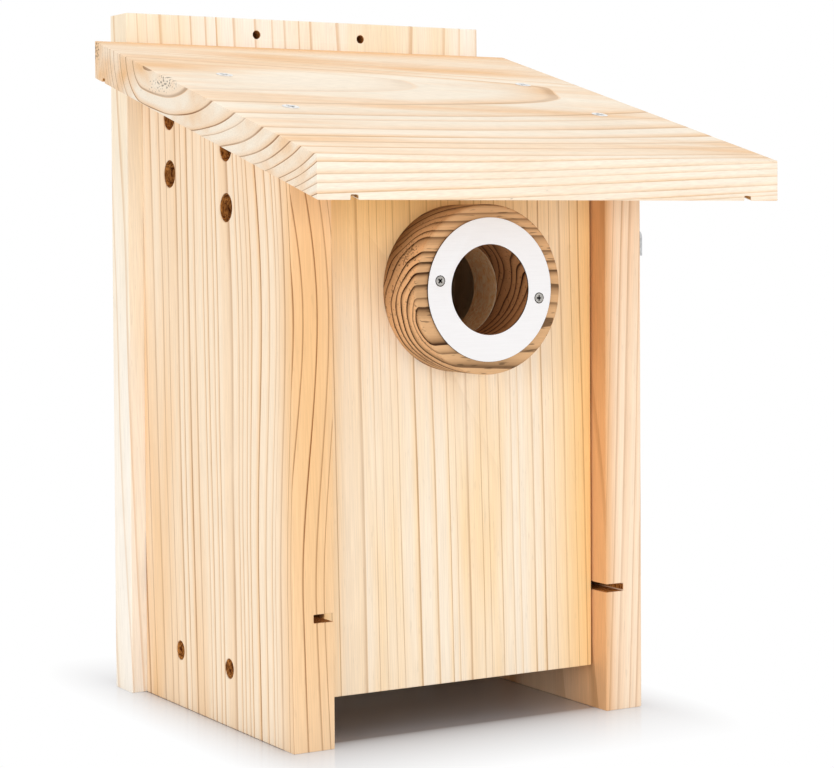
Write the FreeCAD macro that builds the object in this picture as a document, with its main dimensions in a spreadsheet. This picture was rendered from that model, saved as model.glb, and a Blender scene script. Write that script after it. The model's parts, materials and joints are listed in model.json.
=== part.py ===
import FreeCAD, Part
import math
import os
import re

import Sketcher

# Cedar nest box with a drop-down front, an entrance guard and a raised mesh floor.
# Every board is drawn with x = 0 midway between the sides, y = 0 where the sides meet the back board,
# the entrance towards -Y and z = 0 on the ground. One placement then centres the box on the origin.

SIZES = {
    # boards
    "board": 19,
    "house_width": 174,
    "side_depth": 150,
    "back_lip": 7.5,
    "back_rise": 13.5,
    # roof, a plumb-cut board whose underside lies on the sides' sloped tops
    "eave_height": 225,
    "roof_overhang": 68,
    "roof_side_overhang": 23,
    "roof_thickness": 16.5,
    "roof_slope": 15,
    "drip_kerf_width": 3.4,
    "drip_kerf_depth": 2,
    "drip_kerf_inset": 14.3,
    "rear_kerf_gap": 8,
    # vent holes, in two columns and two rows that follow the roof
    "vent_diameter": 12.4,
    "vent_front_column": 61,
    "vent_rear_column": 120,
    "vent_upper_drop": 10,
    "vent_lower_drop": 36,
    # front panel, which drops forward on two low pivots
    "front_recess": 10.5,
    "front_bottom": 19,
    "front_top_gap": 9,
    "front_side_gap": 0.8,
    "pivot_diameter": 4,
    "pivot_length": 20,
    "running_clearance": 0.05,
    "pin_end_room": 0.5,
    "ladder_width": 84,
    "ladder_kerf": 3,
    "ladder_depth": 2.5,
    "ladder_pitch": 12,
    "ladder_start": 34,
    # entrance and its guard
    "entrance_offset": -2.5,
    "entrance_diameter": 38,
    "bore_step": 1.5,
    "guard_diameter": 71.5,
    "guard_depth": 26.8,
    "guard_headroom": 14.6,
    "guard_chamfer": 0.8,
    "plate_diameter": 60.5,
    "plate_thickness": 1.2,
    "guard_screw_tilt": 9.3,
    "guard_screw_head": 4.6,
    "guard_screw_shank": 2.4,
    "guard_screw_length": 40,
    # catch pin, drawn out of the front panel's edge
    "catch_diameter": 2.4,
    "catch_drop": 24.7,
    "catch_reach": 14,
    "catch_leg": 11,
    "catch_bend": 2.6,
    "catch_shy": 1,
    "catch_bite": 12,
    "catch_room": 0.3,
    # bottom board with clipped drain corners
    "bottom_height": 20.5,
    "bottom_thickness": 9.5,
    "bottom_gap": 1,
    "drain_clip": 13,
    # raised mesh floor in the sides' saw grooves
    "groove_height": 52.8,
    "groove_width": 3.5,
    "groove_depth": 9.4,
    "mesh_pitch": 12.7,
    "mesh_wire": 1,
    "mesh_thickness": 1.8,
    "mesh_room": 1,
    # mounting holes in the back board
    "mount_diameter": 4,
    "mount_spacing": 56,
    "mount_drop": 7.5,
    # wood screws
    "screw_head": 7.4,
    "screw_shank": 3.6,
    "screw_length": 38,
    "screw_clearance": 0.05,
    "roof_screw_front": 17.5,
    "roof_screw_rear": 81,
    "counterbore": 8.6,
    "counterbore_depth": 9,
    "bottom_screw_front": 61,
    "bottom_screw_rear": 112,
    "back_screw_low": 45,
    "back_screw_drop": 70,
}
LADDER_KERFS = 6
HANDS = {"left": -1, "right": 1}
# Two measures, in mm or mm3, count as the same when they are this near
NEAR = 0.01

doc = FreeCAD.newDocument("NestBox")
sheet = doc.addObject("Spreadsheet::Sheet", "Dims")
for row, (word, number) in enumerate(SIZES.items(), start=1):
    sheet.set(f"A{row}", word)
    sheet.set(f"B{row}", str(number))
    sheet.setAlias(f"B{row}", word)
doc.recompute()

# Rules that several pieces share
FRONT_TOP = "(eave_height + roof_overhang * tan(roof_slope))"
REAR_TOP = "(eave_height + (side_depth + roof_overhang) * tan(roof_slope))"
ROOF_RISE = "(roof_thickness / cos(roof_slope))"
ROOF_HALF = "(house_width / 2 + roof_side_overhang)"
BACK_HALF = "(house_width / 2 + back_lip)"
BACK_TOP = f"({REAR_TOP} + {ROOF_RISE} + back_rise)"
INNER_HALF = "(house_width / 2 - board)"
SIDE_MIDDLE = "((house_width - board) / 2)"
PANEL_FRONT = "(front_recess - side_depth)"
PANEL_REAR = "(front_recess - side_depth + board)"
PANEL_HALF = "(house_width / 2 - board - front_side_gap)"
PANEL_TOP = "(eave_height + (roof_overhang + front_recess) * tan(roof_slope) - front_top_gap)"
PIVOT_Y = "(front_recess - side_depth + board / 2)"
PIVOT_Z = "(front_bottom + board / 2)"
GUARD_FACE = "(front_recess - side_depth - guard_depth)"
PLATE_FACE = "(front_recess - side_depth - guard_depth - plate_thickness)"
GUARD_CEILING = "(eave_height + (roof_overhang + front_recess - guard_depth) * tan(roof_slope))"
ENTRANCE_Z = f"({GUARD_CEILING} - guard_headroom - guard_diameter / 2)"
BORE = "(entrance_diameter + 2 * bore_step)"
GUARD_SCREW_REACH = "((plate_diameter + entrance_diameter) / 4)"
CATCH_Z = f"({PANEL_TOP} - catch_drop)"
CENTRING = "(side_depth + roof_overhang - board) / 2"


def rule(text):
    """Link every size that a rule names to its cell in the sheet."""
    return re.sub(r"[a-z_]+", lambda word: ("Dims." if word.group() in SIZES else "") + word.group(), text)


def size(text):
    """Work a rule out in millimetres or degrees."""
    return float(sheet.evalExpression(rule(text)))


def new_body(label):
    """Start a piece and set it in the finished box's frame."""
    body = doc.addObject("PartDesign::Body", label)
    body.Label = label
    body.setExpression("Placement.Base.y", rule(CENTRING))
    return body


def sketch_on(body, name, role, along="0", up="0", offset="0", turn="0", tilt="0"):
    """Sketch on a plane of the body, moved in it, off it, turned in it or tilted about its first axis."""
    sketch = body.newObject("Sketcher::SketchObject", name)
    plane = next(feature for feature in body.Origin.OriginFeatures if feature.Role == role)
    sketch.AttachmentSupport = [(plane, "")]
    sketch.MapMode = "FlatFace"
    spin_axis = FreeCAD.Vector(1, 0, 0) if tilt != "0" else FreeCAD.Vector(0, 0, 1)
    sketch.AttachmentOffset = FreeCAD.Placement(FreeCAD.Vector(), FreeCAD.Rotation(spin_axis, 90))
    sketch.setExpression("AttachmentOffset.Base.x", rule(along))
    sketch.setExpression("AttachmentOffset.Base.y", rule(up))
    sketch.setExpression("AttachmentOffset.Base.z", rule(offset))
    sketch.setExpression("AttachmentOffset.Rotation.Angle", rule(tilt if tilt != "0" else turn))
    return sketch


def hold(sketch, geometry, point, across, up):
    """Hold one point of a sketch at the place that two rules give."""
    for kind, axis, text in (("DistanceX", -2, across), ("DistanceY", -1, up)):
        if text == "0":
            sketch.addConstraint(Sketcher.Constraint("PointOnObject", geometry, point, axis))
            continue
        index = sketch.addConstraint(Sketcher.Constraint(kind, -1, 1, geometry, point, size(text)))
        sketch.setExpression(f"Constraints[{index}]", rule(text))


def outline(sketch, points):
    """Draw a closed outline of straight lines through points given as pairs of rules."""
    first = sketch.GeometryCount
    corners = [FreeCAD.Vector(size(across), size(up), 0) for across, up in points]
    for start, end in zip(corners, corners[1:] + corners[:1]):
        sketch.addGeometry(Part.LineSegment(start, end), False)
    for index in range(len(points)):
        following = first + (index + 1) % len(points)
        sketch.addConstraint(Sketcher.Constraint("Coincident", first + index, 2, following, 1))
    for index, (across, up) in enumerate(points):
        hold(sketch, first + index, 1, across, up)


def rectangle(sketch, left, right, low, high):
    """Draw a rectangle between four rules."""
    outline(sketch, [(left, low), (right, low), (right, high), (left, high)])


def circle(sketch, across, up, diameter):
    """Draw a circle whose centre and diameter are rules."""
    centre = FreeCAD.Vector(size(across), size(up), 0)
    index = sketch.addGeometry(Part.Circle(centre, FreeCAD.Vector(0, 0, 1), size(diameter) / 2), False)
    hold(sketch, index, 3, across, up)
    width = sketch.addConstraint(Sketcher.Constraint("Diameter", index, size(diameter)))
    sketch.setExpression(f"Constraints[{width}]", rule(diameter))


def pad(body, name, sketch, length, backwards=False):
    """Raise a sketch into a solid."""
    feature = body.newObject("PartDesign::Pad", name)
    feature.Profile = sketch
    feature.Reversed = backwards
    feature.setExpression("Length", rule(length))
    doc.recompute()
    return feature


def must_cut(body, before, name):
    """Stop if a cut took nothing from its piece."""
    if body.Shape.Volume > before - NEAR:
        raise ValueError(f"{name} cuts nothing from {body.Label}")


def pocket(body, name, sketch, depth, backwards=False):
    """Cut a sketch into a piece to a depth."""
    before = body.Shape.Volume
    feature = body.newObject("PartDesign::Pocket", name)
    feature.Profile = sketch
    feature.Reversed = backwards
    feature.setExpression("Length", rule(depth))
    doc.recompute()
    must_cut(body, before, name)


def dress_edges(body, kind, name, feature, measure, width, wanted):
    """Round or chamfer the edges of a feature that answer a test."""
    edges = [f"Edge{k}" for k, edge in enumerate(feature.Shape.Edges, start=1) if wanted(edge)]
    dressing = body.newObject(kind, name)
    dressing.Base = (feature, edges)
    dressing.setExpression(measure, rule(width))
    doc.recompute()


def screw_profile(sketch, family, clearance):
    """Half section of a flat-head screw: its head's face lies on the sketch's first axis, its tip below."""
    head = f"({family}_head / 2 + {clearance})"
    shank = f"({family}_shank / 2 + {clearance})"
    sink = f"-({family}_head - {family}_shank) / 2"
    shoulder = f"-({family}_length - {family}_shank + {clearance})"
    tip = f"-({family}_length + {clearance})"
    outline(sketch, [("0", "0"), (head, "0"), (shank, sink), (shank, shoulder), ("0", tip)])


def turned_screws(label, family, places):
    """A group of like screws, each turned about its own axis."""
    body = new_body(label)
    for number, place in enumerate(places, start=1):
        profile = sketch_on(body, f"{label}_profile_{number}", **place)
        screw_profile(profile, family, "0")
        screw = body.newObject("PartDesign::Revolution", f"{label}_{number}")
        screw.Profile = profile
        screw.ReferenceAxis = (profile, ["V_Axis"])
        screw.Angle = 360
        doc.recompute()
    return body


def screw_holes(body, name, family, places):
    """Countersinks and pilot holes for the screws that enter a piece."""
    for number, place in enumerate(places, start=1):
        before = body.Shape.Volume
        profile = sketch_on(body, f"{name}_profile_{number}", **place)
        screw_profile(profile, family, "screw_clearance")
        hole = body.newObject("PartDesign::Groove", f"{name}_{number}")
        hole.Profile = profile
        hole.ReferenceAxis = (profile, ["V_Axis"])
        hole.Angle = 360
        doc.recompute()
        must_cut(body, before, f"{name}_{number}")


def roof_screw_place(hand, from_front):
    """A screw square to the roof's top, over the middle of one side."""
    height = f"{REAR_TOP} + {ROOF_RISE} + ({from_front} - side_depth) * tan(roof_slope)"
    return {
        "role": "YZ_Plane",
        "along": f"{from_front} - side_depth",
        "up": height,
        "offset": f"{hand} * {SIDE_MIDDLE}",
        "turn": "roof_slope",
    }


def back_screw_place(hand, height):
    """A screw from behind, through the back board into the rear edge of one side."""
    return {
        "role": "YZ_Plane",
        "along": "board",
        "up": height,
        "offset": f"{hand} * {SIDE_MIDDLE}",
        "turn": "-90",
    }


def bottom_screw_place(hand, from_front):
    """A screw at the bottom of a side's counterbore, into the edge of the bottom board."""
    return {
        "role": "XY_Plane",
        "along": f"{hand} * (house_width / 2 - counterbore_depth)",
        "up": f"{from_front} - side_depth",
        "offset": "bottom_height + bottom_thickness / 2",
        "turn": f"{-90 * hand}",
    }


def guard_screw_place(hand):
    """A screw through the guard's plate and block into the front panel."""
    return {
        "role": "YZ_Plane",
        "along": PLATE_FACE,
        "up": f"{ENTRANCE_Z} - {hand} * {GUARD_SCREW_REACH} * sin(guard_screw_tilt)",
        "offset": f"entrance_offset + {hand} * {GUARD_SCREW_REACH} * cos(guard_screw_tilt)",
        "turn": "90",
    }


ROOF_SCREWS = {
    side: [roof_screw_place(hand, place) for place in ("roof_screw_front", "roof_screw_rear")]
    for side, hand in HANDS.items()
}
BACK_SCREWS = {
    side: [back_screw_place(hand, height) for height in ("back_screw_low", f"{REAR_TOP} - back_screw_drop")]
    for side, hand in HANDS.items()
}
BOTTOM_SCREWS = {
    side: [bottom_screw_place(hand, place) for place in ("bottom_screw_front", "bottom_screw_rear")]
    for side, hand in HANDS.items()
}
GUARD_SCREWS = [guard_screw_place(hand) for hand in HANDS.values()]


def both_sides(places):
    """The screws of the left side followed by those of the right."""
    return places["left"] + places["right"]


def back_board():
    """Tall board that closes the box behind and carries the two mounting holes above the roof."""
    body = new_body("back_board")
    blank = sketch_on(body, "back_outline", "XZ_Plane", offset="-board")
    rectangle(blank, f"-{BACK_HALF}", BACK_HALF, "0", BACK_TOP)
    for hand in HANDS.values():
        circle(blank, f"{hand} * mount_spacing / 2", f"{BACK_TOP} - mount_drop", "mount_diameter")
    pad(body, "back_blank", blank, "board")
    screw_holes(body, "back_hole", "screw", both_sides(BACK_SCREWS))
    return body


def side(name):
    """One side: sloped top, vents, counterbored screws, a saw groove inside and a blind pivot hole."""
    hand = HANDS[name]
    body = new_body(f"{name}_side")
    inner = f"{hand} * {INNER_HALF}"
    outer = f"{hand} * house_width / 2"
    inwards = hand < 0

    blank = sketch_on(body, f"{name}_outline", "YZ_Plane", offset=inner)
    outline(blank, [("0", "0"), ("-side_depth", "0"), ("-side_depth", FRONT_TOP), ("0", REAR_TOP)])
    pad(body, f"{name}_blank", blank, "board", backwards=inwards)

    vents = sketch_on(body, f"{name}_vent_circles", "YZ_Plane", offset=inner)
    for column in ("vent_front_column", "vent_rear_column"):
        underside = f"(eave_height + ({column} + roof_overhang) * tan(roof_slope))"
        for drop in ("vent_upper_drop", "vent_lower_drop"):
            circle(vents, f"{column} - side_depth", f"{underside} - {drop}", "vent_diameter")
    pocket(body, f"{name}_vents", vents, "board", backwards=not inwards)

    groove = sketch_on(body, f"{name}_groove_outline", "YZ_Plane", offset=inner)
    rectangle(groove, "-side_depth", "0", "groove_height", "groove_height + groove_width")
    pocket(body, f"{name}_groove", groove, "groove_depth", backwards=not inwards)

    counterbores = sketch_on(body, f"{name}_counterbore_circles", "YZ_Plane", offset=outer)
    for place in ("bottom_screw_front", "bottom_screw_rear"):
        circle(counterbores, f"{place} - side_depth", "bottom_height + bottom_thickness / 2", "counterbore")
    pocket(body, f"{name}_counterbores", counterbores, "counterbore_depth", backwards=inwards)

    pivot = sketch_on(body, f"{name}_pivot_circle", "YZ_Plane", offset=inner)
    circle(pivot, PIVOT_Y, PIVOT_Z, "pivot_diameter")
    pocket(body, f"{name}_pivot_hole", pivot, "pivot_length / 2", backwards=not inwards)

    if name == "right":
        catch = sketch_on(body, "catch_circle", "YZ_Plane", offset=inner)
        circle(catch, PIVOT_Y, CATCH_Z, "catch_diameter + 2 * running_clearance")
        pocket(body, "catch_hole", catch, "board", backwards=True)

    screw_holes(body, f"{name}_roof_hole", "screw", ROOF_SCREWS[name])
    screw_holes(body, f"{name}_back_hole", "screw", BACK_SCREWS[name])
    screw_holes(body, f"{name}_bottom_hole", "screw", BOTTOM_SCREWS[name])
    return body


def bottom_board():
    """Thin bottom between the sides, with its four corners clipped off as drains."""
    body = new_body("bottom_board")
    front = f"({PANEL_REAR} + bottom_gap)"
    blank = sketch_on(body, "bottom_outline", "XY_Plane", offset="bottom_height")
    outline(
        blank,
        [
            (f"-({INNER_HALF} - drain_clip)", "0"),
            (f"-{INNER_HALF}", "-drain_clip"),
            (f"-{INNER_HALF}", f"{front} + drain_clip"),
            (f"-({INNER_HALF} - drain_clip)", front),
            (f"{INNER_HALF} - drain_clip", front),
            (INNER_HALF, f"{front} + drain_clip"),
            (INNER_HALF, "-drain_clip"),
            (f"{INNER_HALF} - drain_clip", "0"),
        ],
    )
    pad(body, "bottom_blank", blank, "bottom_thickness")
    screw_holes(body, "bottom_hole", "screw", both_sides(BOTTOM_SCREWS))
    return body


def mesh_floor():
    """Flat wire mesh whose side edges lie in the grooves: one face with a grid of square gaps."""
    half_width = size(f"{INNER_HALF} + groove_depth - mesh_room")
    front = size(f"{PANEL_REAR} + mesh_room")
    rear = size("-mesh_room")
    pitch = size("mesh_pitch")
    gap = size("mesh_pitch - mesh_wire")
    low = size("groove_height")
    across = int((2 * half_width - size("mesh_wire")) / pitch)
    deep = int((rear - front - size("mesh_wire")) / pitch)
    first_x = -across * pitch / 2 + (pitch - gap) / 2
    first_y = (front + rear - deep * pitch) / 2 + (pitch - gap) / 2

    def square_wire(x, y, width, length):
        corners = [(x, y), (x + width, y), (x + width, y + length), (x, y + length), (x, y)]
        return Part.makePolygon([FreeCAD.Vector(*corner, low) for corner in corners])

    edge = square_wire(-half_width, front, 2 * half_width, rear - front)
    gaps = [
        square_wire(first_x + column * pitch, first_y + line * pitch, gap, gap)
        for column in range(across)
        for line in range(deep)
    ]
    net = doc.addObject("Part::Feature", "mesh_floor")
    net.Label = "mesh_floor"
    holed_face = Part.makeFace([edge] + gaps, "Part::FaceMakerCheese")
    net.Shape = holed_face.extrude(FreeCAD.Vector(0, 0, size("mesh_thickness")))
    net.Placement = FreeCAD.Placement(FreeCAD.Vector(0, size(CENTRING), 0), FreeCAD.Rotation())
    return net


def front_panel():
    """The front that drops forward: entrance bore, saw-kerf ladder inside and a round inner lower edge."""
    body = new_body("front_panel")
    blank = sketch_on(body, "panel_outline", "XZ_Plane", offset=f"-{PANEL_FRONT}")
    rectangle(blank, f"-{PANEL_HALF}", PANEL_HALF, "front_bottom", PANEL_TOP)
    circle(blank, "entrance_offset", ENTRANCE_Z, BORE)
    slab = pad(body, "panel_blank", blank, "board", backwards=True)

    rear, low = size(PANEL_REAR), size("front_bottom")
    inner_lower_edge = FreeCAD.Vector(0, rear, low)
    dress_edges(
        body,
        "PartDesign::Fillet",
        "panel_round",
        slab,
        "Radius",
        "board / 2 - front_side_gap",
        lambda edge: (edge.CenterOfMass - inner_lower_edge).Length < NEAR,
    )

    ladder = sketch_on(body, "ladder_outlines", "XZ_Plane", offset=f"-{PANEL_REAR}")
    for step in range(LADDER_KERFS):
        top = f"({ENTRANCE_Z} - ladder_start - {step} * ladder_pitch)"
        left, right = "entrance_offset - ladder_width / 2", "entrance_offset + ladder_width / 2"
        rectangle(ladder, left, right, f"{top} - ladder_kerf", top)
    pocket(body, "ladder", ladder, "ladder_depth", backwards=True)

    for name, hand in HANDS.items():
        pivot = sketch_on(body, f"panel_pivot_circle_{name}", "YZ_Plane", offset=f"{hand} * {PANEL_HALF}")
        circle(pivot, PIVOT_Y, PIVOT_Z, "pivot_diameter + 2 * running_clearance")
        depth = "pivot_length / 2 - front_side_gap + pin_end_room"
        pocket(body, f"panel_pivot_hole_{name}", pivot, depth, backwards=hand < 0)

    catch = sketch_on(body, "panel_catch_circle", "YZ_Plane", offset=PANEL_HALF)
    circle(catch, PIVOT_Y, CATCH_Z, "catch_diameter + 2 * catch_room")
    pocket(body, "panel_catch_hole", catch, "catch_bite")
    screw_holes(body, "panel_guard_hole", "guard_screw", GUARD_SCREWS)
    return body


def pivot_pins():
    """Two steel pins, each half in a side and half in the front panel's edge."""
    body = new_body("pivot_pins")
    for name, hand in HANDS.items():
        end = f"{hand} * {INNER_HALF} - pivot_length / 2"
        section = sketch_on(body, f"pivot_section_{name}", "YZ_Plane", offset=end)
        circle(section, PIVOT_Y, PIVOT_Z, "pivot_diameter")
        pad(body, f"pivot_pin_{name}", section, "pivot_length")
    return body


def guard_block():
    """Turned block that makes the entrance too deep to reach through, with an eased front rim."""
    body = new_body("guard_block")
    section = sketch_on(body, "block_rings", "XZ_Plane", offset=f"-{PANEL_FRONT}")
    circle(section, "entrance_offset", ENTRANCE_Z, "guard_diameter")
    circle(section, "entrance_offset", ENTRANCE_Z, BORE)
    block = pad(body, "block_turned", section, "guard_depth")
    rim = FreeCAD.Vector(size("entrance_offset"), size(GUARD_FACE), size(ENTRANCE_Z))
    rim_radius = size("guard_diameter / 2")

    def is_rim(edge):
        if not isinstance(edge.Curve, Part.Circle):
            return False
        return abs(edge.Curve.Radius - rim_radius) < NEAR and (edge.Curve.Center - rim).Length < NEAR

    dress_edges(body, "PartDesign::Chamfer", "block_rim", block, "Size", "guard_chamfer", is_rim)
    screw_holes(body, "block_hole", "guard_screw", GUARD_SCREWS)
    return body


def guard_plate():
    """Stainless ring that keeps the entrance from being gnawed wider."""
    body = new_body("guard_plate")
    section = sketch_on(body, "plate_rings", "XZ_Plane", offset=f"-{GUARD_FACE}")
    circle(section, "entrance_offset", ENTRANCE_Z, "plate_diameter")
    circle(section, "entrance_offset", ENTRANCE_Z, "entrance_diameter")
    pad(body, "plate_blank", section, "plate_thickness")
    screw_holes(body, "plate_hole", "guard_screw", GUARD_SCREWS)
    return body


def catch_pin():
    """Bent wire pin in the right side, drawn clear of the front panel: pushed in, it locks the panel."""
    body = new_body("catch_pin")
    tip = f"({INNER_HALF} + catch_shy)"
    leg = "(house_width / 2 + catch_reach)"
    section = sketch_on(body, "catch_section", "YZ_Plane", offset=tip)
    circle(section, PIVOT_Y, CATCH_Z, "catch_diameter")

    path = sketch_on(body, "catch_path", "XZ_Plane", offset=f"-{PIVOT_Y}")
    height = size(CATCH_Z)
    bend = size("catch_bend")
    leg_x = size(leg)
    bend_start = FreeCAD.Vector(leg_x - bend, height, 0)
    bend_end = FreeCAD.Vector(leg_x, height - bend, 0)
    foot = FreeCAD.Vector(leg_x, height - size("catch_leg"), 0)
    path.addGeometry(Part.LineSegment(FreeCAD.Vector(size(tip), height, 0), bend_start), False)
    quarter = Part.Circle(FreeCAD.Vector(leg_x - bend, height - bend, 0), FreeCAD.Vector(0, 0, 1), bend)
    path.addGeometry(Part.ArcOfCircle(quarter, 0, math.pi / 2), False)
    path.addGeometry(Part.LineSegment(bend_end, foot), False)
    path.addConstraint(Sketcher.Constraint("Tangent", 0, 2, 1, 2))
    path.addConstraint(Sketcher.Constraint("Tangent", 1, 1, 2, 1))
    path.addConstraint(Sketcher.Constraint("Horizontal", 0))
    path.addConstraint(Sketcher.Constraint("Vertical", 2))
    radius = path.addConstraint(Sketcher.Constraint("Radius", 1, bend))
    path.setExpression(f"Constraints[{radius}]", rule("catch_bend"))
    hold(path, 0, 1, tip, CATCH_Z)
    hold(path, 2, 2, leg, f"{CATCH_Z} - catch_leg")

    wire = body.newObject("PartDesign::AdditivePipe", "catch_wire")
    wire.Profile = section
    wire.Spine = (path, ["Edge1", "Edge2", "Edge3"])
    doc.recompute()
    return body


def roof():
    """Sloped board, plumb-cut at both ends, with drip kerfs beneath and its screws let in flush."""
    body = new_body("roof")
    front = "-(side_depth + roof_overhang)"
    blank = sketch_on(body, "roof_outline", "YZ_Plane", offset=f"-{ROOF_HALF}")
    outline(
        blank,
        [
            (front, "eave_height"),
            ("0", REAR_TOP),
            ("0", f"{REAR_TOP} + {ROOF_RISE}"),
            (front, f"eave_height + {ROOF_RISE}"),
        ],
    )
    pad(body, "roof_blank", blank, f"2 * {ROOF_HALF}")

    slope_length = "(side_depth + roof_overhang + roof_thickness) / cos(roof_slope)"
    underside = {"role": "XY_Plane", "offset": REAR_TOP, "tilt": "roof_slope"}
    for name, hand in HANDS.items():
        kerf = sketch_on(body, f"drip_outline_{name}", **underside)
        outside = f"{hand} * ({ROOF_HALF} - drip_kerf_inset)"
        inside = f"{hand} * ({ROOF_HALF} - drip_kerf_inset - drip_kerf_width)"
        rectangle(kerf, inside, outside, f"-{slope_length}", "roof_thickness")
        pocket(body, f"drip_kerf_{name}", kerf, "drip_kerf_depth", backwards=True)
    rear_kerf = sketch_on(body, "rear_kerf_outline", **underside)
    rear_edge = "(rear_kerf_gap + drip_kerf_width)"
    rectangle(rear_kerf, f"-{ROOF_HALF}", ROOF_HALF, f"-{rear_edge}", "-rear_kerf_gap")
    pocket(body, "rear_kerf", rear_kerf, "drip_kerf_depth", backwards=True)
    screw_holes(body, "roof_hole", "screw", both_sides(ROOF_SCREWS))
    return body


pieces = [
    back_board(),
    side("left"),
    side("right"),
    turned_screws("back_screws", "screw", both_sides(BACK_SCREWS)),
    bottom_board(),
    turned_screws("bottom_screws", "screw", both_sides(BOTTOM_SCREWS)),
    mesh_floor(),
    pivot_pins(),
    front_panel(),
    guard_block(),
    guard_plate(),
    turned_screws("guard_screws", "guard_screw", GUARD_SCREWS),
    catch_pin(),
    roof(),
    turned_screws("roof_screws", "screw", both_sides(ROOF_SCREWS)),
]
doc.recompute()

for item in doc.Objects:
    if "Invalid" in item.State or "Error" in item.State:
        raise ValueError(f"{item.Label} did not build: {item.State}")
for piece in pieces:
    if piece.Shape.isNull() or not piece.Shape.isValid():
        raise ValueError(f"{piece.Label} is not a sound solid")

os.makedirs("parts", exist_ok=True)
for piece in pieces:
    piece.Shape.exportStep(f"parts/{piece.Label}.step")
    box = piece.Shape.BoundBox
    print(f"{piece.Label}: {len(piece.Shape.Solids)} solids, {piece.Shape.Volume:.0f} mm3,", box)
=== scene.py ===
import json
import math

import bmesh
import bpy
import numpy
from mathutils import Euler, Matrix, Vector

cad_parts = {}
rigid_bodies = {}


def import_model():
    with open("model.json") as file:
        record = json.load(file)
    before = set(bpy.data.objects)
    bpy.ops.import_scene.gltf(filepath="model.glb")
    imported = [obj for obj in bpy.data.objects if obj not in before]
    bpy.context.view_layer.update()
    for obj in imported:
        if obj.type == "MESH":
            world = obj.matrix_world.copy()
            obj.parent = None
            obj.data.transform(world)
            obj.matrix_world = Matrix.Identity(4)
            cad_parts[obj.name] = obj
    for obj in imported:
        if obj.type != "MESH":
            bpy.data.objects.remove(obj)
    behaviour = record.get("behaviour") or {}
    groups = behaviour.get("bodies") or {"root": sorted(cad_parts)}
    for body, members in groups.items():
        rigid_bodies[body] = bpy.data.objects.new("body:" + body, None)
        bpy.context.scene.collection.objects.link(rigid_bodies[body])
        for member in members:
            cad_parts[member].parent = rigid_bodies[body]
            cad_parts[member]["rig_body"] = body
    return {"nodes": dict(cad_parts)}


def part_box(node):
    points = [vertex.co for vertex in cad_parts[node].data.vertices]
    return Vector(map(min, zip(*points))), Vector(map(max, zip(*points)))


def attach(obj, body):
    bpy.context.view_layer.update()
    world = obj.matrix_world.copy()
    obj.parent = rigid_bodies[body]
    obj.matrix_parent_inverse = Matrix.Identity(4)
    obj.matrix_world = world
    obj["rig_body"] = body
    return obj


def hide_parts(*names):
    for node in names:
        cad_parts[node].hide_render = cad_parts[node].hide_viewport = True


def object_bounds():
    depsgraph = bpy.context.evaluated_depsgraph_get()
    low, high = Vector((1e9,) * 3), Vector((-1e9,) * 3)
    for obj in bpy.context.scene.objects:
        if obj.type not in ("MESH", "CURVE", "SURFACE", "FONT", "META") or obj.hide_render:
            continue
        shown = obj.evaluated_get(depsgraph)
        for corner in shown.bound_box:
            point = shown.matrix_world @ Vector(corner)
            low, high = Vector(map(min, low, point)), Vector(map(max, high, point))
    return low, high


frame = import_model()
cad_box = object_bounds()

# Back board: one flat-sawn cedar board, taller than the box, which hangs by two holes above the roof.
# It is planed on both faces and its arrises are just taken off, so every edge catches a thin light.
MM = 0.001
ARRIS = 0.45 * MM
SAME_POINT = 0.002 * MM
WHOLE_FACE = math.radians(1)
SHARP_EDGE = math.radians(25)
LARGE_FACE = 40 * MM * MM


def linear(hex_colour):
    """Turn an sRGB hex colour into linear red, green, blue and a full alpha."""
    channels = [int(hex_colour[start : start + 2], 16) / 255 for start in (1, 3, 5)]
    return tuple(c / 12.92 if c <= 0.04045 else ((c + 0.055) / 1.055) ** 2.4 for c in channels) + (1.0,)


def add(tree, kind, settings=(), feeds=()):
    """Add a node with its settings; each input is fed by a plain value or by another node's socket."""
    node = tree.nodes.new(kind)
    for name, value in dict(settings).items():
        setattr(node, name, value)
    for socket, feed in dict(feeds).items():
        if isinstance(feed, bpy.types.NodeSocket):
            tree.links.new(feed, node.inputs[socket])
        else:
            node.inputs[socket].default_value = feed
    return node


def new_material(name):
    """Start a material with an empty tree."""
    material = bpy.data.materials.new(name)
    material.use_nodes = True
    material.node_tree.nodes.clear()
    return material, material.node_tree


def closeness(tree, place, centre, reach):
    """One at a centre, falling softly to nothing at its reach each way; both are in millimetres."""
    from_centre = add(
        tree,
        "ShaderNodeMapping",
        feeds={
            "Vector": place.outputs["Object"],
            "Scale": tuple(1 / (MM * far) for far in reach),
            "Location": tuple(-at / far for at, far in zip(centre, reach)),
        },
    )
    distance = add(tree, "ShaderNodeVectorMath", {"operation": "LENGTH"}, {0: from_centre.outputs[0]})
    falling = add(
        tree,
        "ShaderNodeMapRange",
        {"interpolation_type": "SMOOTHSTEP"},
        {"Value": distance.outputs["Value"], "To Min": 1.0, "To Max": 0.0},
    )
    return falling.outputs[0]


# The wood's pattern in millimetres, both ways across the log and along it. Real fibres and pores are
# hundredths of a millimetre wide, too fine to show, so they are drawn coarser.
PATCH_SIZE = (26, 26, 130)
BAND_SIZE = (38, 38, 420)
FIBRE_SIZE = (0.55, 0.55, 24)
PORE_SIZE = (1.1, 1.1, 7)
# The trunk's sway is this many times longer along the log than across it.
SWAY_STRETCH = 4.7
# A year, in shares of its ring: the last line's tail, spring wood until SPRING_END, a warm summer and a line,
# which is full for its last LINE_FULL. The levels run from spring wood's 0 to a full line's 1.
LINE_TAIL = 0.035
TAIL_LEVEL = 0.45
SPRING_END = 0.45
SUMMER_LEVEL = 0.3
LINE_FULL = 0.45
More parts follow.
